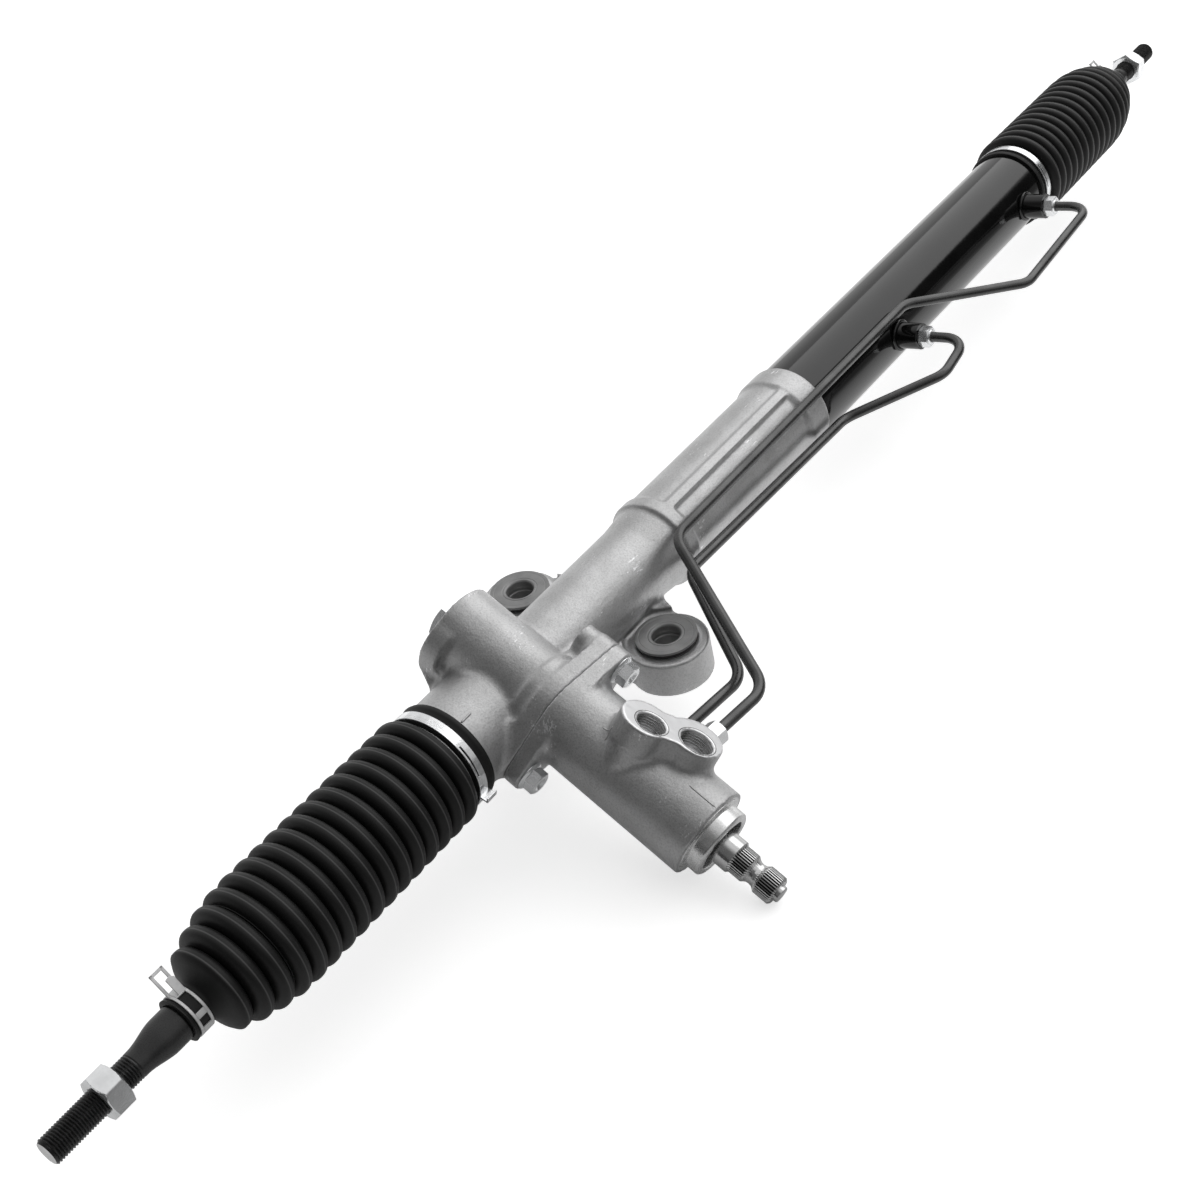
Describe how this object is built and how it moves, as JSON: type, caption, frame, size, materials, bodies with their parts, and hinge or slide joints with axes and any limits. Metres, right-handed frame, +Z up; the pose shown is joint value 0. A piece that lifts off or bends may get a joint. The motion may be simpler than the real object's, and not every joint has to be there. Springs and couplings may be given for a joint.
{
  "type": "hydraulic rack and pinion steering gear",
  "caption": "Hydraulic rack-and-pinion steering gear with cast housing, bellows boots, threaded tie rods, splined input shaft, hose ports and rubber-bonded mounting bushes.",
  "frame": {"origin": "centre of the front mounting bush's bore at its upper seat", "axes": "+X along the rack, from the pinion end to the far end; +Z up, along the mounting bolts; the input shaft leans towards -Y and down"},
  "size_m": [1.166, 0.2577, 0.1191],
  "materials": {
    "cast_aluminium": "satin",
    "black_tube_paint": "gloss",
    "zinc_steel": "gloss",
    "bright_steel": "satin",
    "black_steel": "satin",
    "grey_bush_steel": "satin",
    "yoke_aluminium": "satin",
    "pipe_steel": "satin",
    "black_rubber": "satin",
    "white_plastic": "matte"
  },
  "bodies": {
    "housing": {"rack_housing": "cast_aluminium", "valve_housing": "cast_aluminium", "cylinder_tube": "black_tube_paint", "tube_port_bosses": "black_tube_paint", "flange_bolts": "zinc_steel", "pinion_end_cap": "zinc_steel", "retaining_ring": "zinc_steel", "valve_pipe_nuts": "zinc_steel", "tube_pipe_nuts": "zinc_steel", "left_large_clamp": "zinc_steel", "right_large_clamp": "zinc_steel", "yoke_locknut": "zinc_steel", "pinion_bearing_outer": "bright_steel", "pinion_bearing_balls": "bright_steel", "upper_bearing_cup": "bright_steel", "upper_bearing_needles": "bright_steel", "input_bearing": "bright_steel", "snap_ring": "bright_steel", "yoke_spring": "bright_steel", "inner_bulkhead": "bright_steel", "outer_bulkhead": "bright_steel", "bush_sleeves": "grey_bush_steel", "bush_shells": "grey_bush_steel", "yoke_body": "yoke_aluminium", "yoke_plug": "yoke_aluminium", "right_line_pipe": "pipe_steel", "left_line_pipe": "pipe_steel", "left_boot": "black_rubber", "right_boot": "black_rubber", "bush_rubbers": "black_rubber", "flange_o_ring": "black_rubber", "input_seal": "black_rubber", "dust_seal": "black_rubber", "inner_rack_seal": "black_rubber", "outer_rack_seal": "black_rubber", "yoke_liner": "white_plastic"},
    "rack": {"rack_bar": "bright_steel", "piston": "bright_steel", "piston_ring": "white_plastic", "left_socket": "black_steel", "right_socket": "black_steel", "left_ball_seat": "white_plastic", "right_ball_seat": "white_plastic", "lock_washers": "bright_steel"},
    "pinion_shaft": {"pinion": "bright_steel", "pinion_nut": "bright_steel", "pinion_bearing_inner": "bright_steel", "torsion_bar": "bright_steel", "valve_sleeve": "bright_steel", "valve_seal_rings": "white_plastic"},
    "input": {"input_shaft": "bright_steel"},
    "left_rod": {"left_tie_rod": "black_steel", "left_jam_nut": "zinc_steel", "left_small_clamp": "zinc_steel"},
    "right_rod": {"right_tie_rod": "black_steel", "right_jam_nut": "zinc_steel", "right_small_clamp": "zinc_steel"}
  },
  "joints": [
    {"name": "rack_slide", "type": "slide", "parent": "housing", "child": "rack", "axis": [1, 0, 0], "range_m": [-0.072, 0.072], "deforming": ["left_boot", "right_boot"]},
    {"name": "pinion_spin", "type": "hinge", "parent": "housing", "child": "pinion_shaft", "pos_m": [-0.0835, 0.0349, 0.02795], "axis": [-0.0976, -0.9042, -0.4159], "range_deg": [-545, 545]},
    {"name": "valve_twist", "type": "hinge", "parent": "pinion_shaft", "child": "input", "pos_m": [-0.0835, 0.0349, 0.02795], "axis": [-0.0976, -0.9042, -0.4159], "range_deg": [-4, 4], "stiffness_Nm_per_rad": 4},
    {"name": "left_rod_swing", "type": "hinge", "parent": "rack", "child": "left_rod", "pos_m": [-0.276, 0.042, 0.0125], "axis": [0, 1, 0], "range_deg": [-20, 20]},
    {"name": "right_rod_swing", "type": "hinge", "parent": "rack", "child": "right_rod", "pos_m": [0.626, 0.042, 0.0125], "axis": [0, 1, 0], "range_deg": [-20, 20]}
  ],
  "couplings": [
    {"joint": "pinion_spin", "follows": "rack_slide", "rad_per_m": 130.95}
  ]
}
